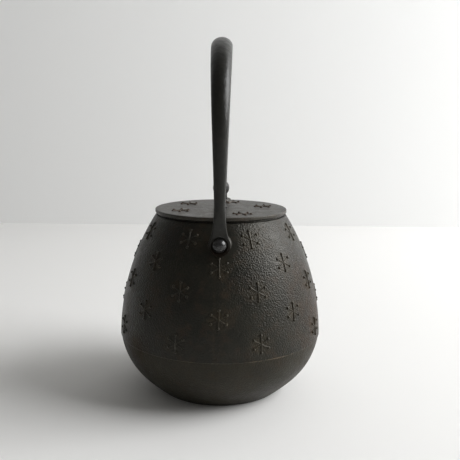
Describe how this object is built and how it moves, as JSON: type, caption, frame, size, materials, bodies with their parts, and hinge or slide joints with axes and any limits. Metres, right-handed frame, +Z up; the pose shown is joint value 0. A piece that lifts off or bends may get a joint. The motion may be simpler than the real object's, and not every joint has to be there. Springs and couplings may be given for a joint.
{
  "type": "cast iron teapot",
  "caption": "Round-shouldered cast iron teapot with a short spout, a swinging bail handle, a flat lift-off lid with a ball knob and a lift-out steel strainer basket.",
  "frame": {"origin": "middle of the foot, on the pot's axis, where it stands on the table", "axes": "+Z up along the pot's axis, +Y towards the spout, +X to the right seen from behind the spout"},
  "size_m": [0.1422, 0.1671, 0.2444],
  "materials": {
    "pot_iron": "matte, fine sand-cast grain",
    "lid_iron": "matte, fine sand-cast grain",
    "handle_iron": "semi-gloss black lacquer over forged iron",
    "knob_iron": "satin",
    "stud_iron": "smooth, semi-gloss",
    "washer_steel": "dull",
    "strainer_steel": "satin"
  },
  "bodies": {
    "pot": {"bowl_casting": "pot_iron", "shoulder_casting": "pot_iron", "spout_casting": "pot_iron", "rear_stud": "stud_iron", "front_stud": "stud_iron", "rear_washer": "washer_steel", "front_washer": "washer_steel"},
    "bail": {"handle": "handle_iron"},
    "basket": {"strainer_rim": "strainer_steel", "strainer_wall": "strainer_steel", "strainer_base": "strainer_steel", "strainer_band": "strainer_steel"},
    "lid": {"lid_plate": "lid_iron", "lid_knob": "knob_iron", "knob_seat": "knob_iron", "knob_rivet": "washer_steel", "knob_burr": "washer_steel"}
  },
  "joints": [
    {"name": "handle_swing", "type": "hinge", "parent": "pot", "child": "bail", "pos_m": [0, 0, 0.1131], "axis": [0, 1, 0], "range_deg": [-120, 120]},
    {"name": "strainer_lift", "type": "slide", "parent": "pot", "child": "basket", "axis": [0, 0, 1], "range_m": [0, 0.055]},
    {"name": "lid_lift", "type": "slide", "parent": "basket", "child": "lid", "axis": [0, 0, 1], "range_m": [0, 0.06]}
  ]
}
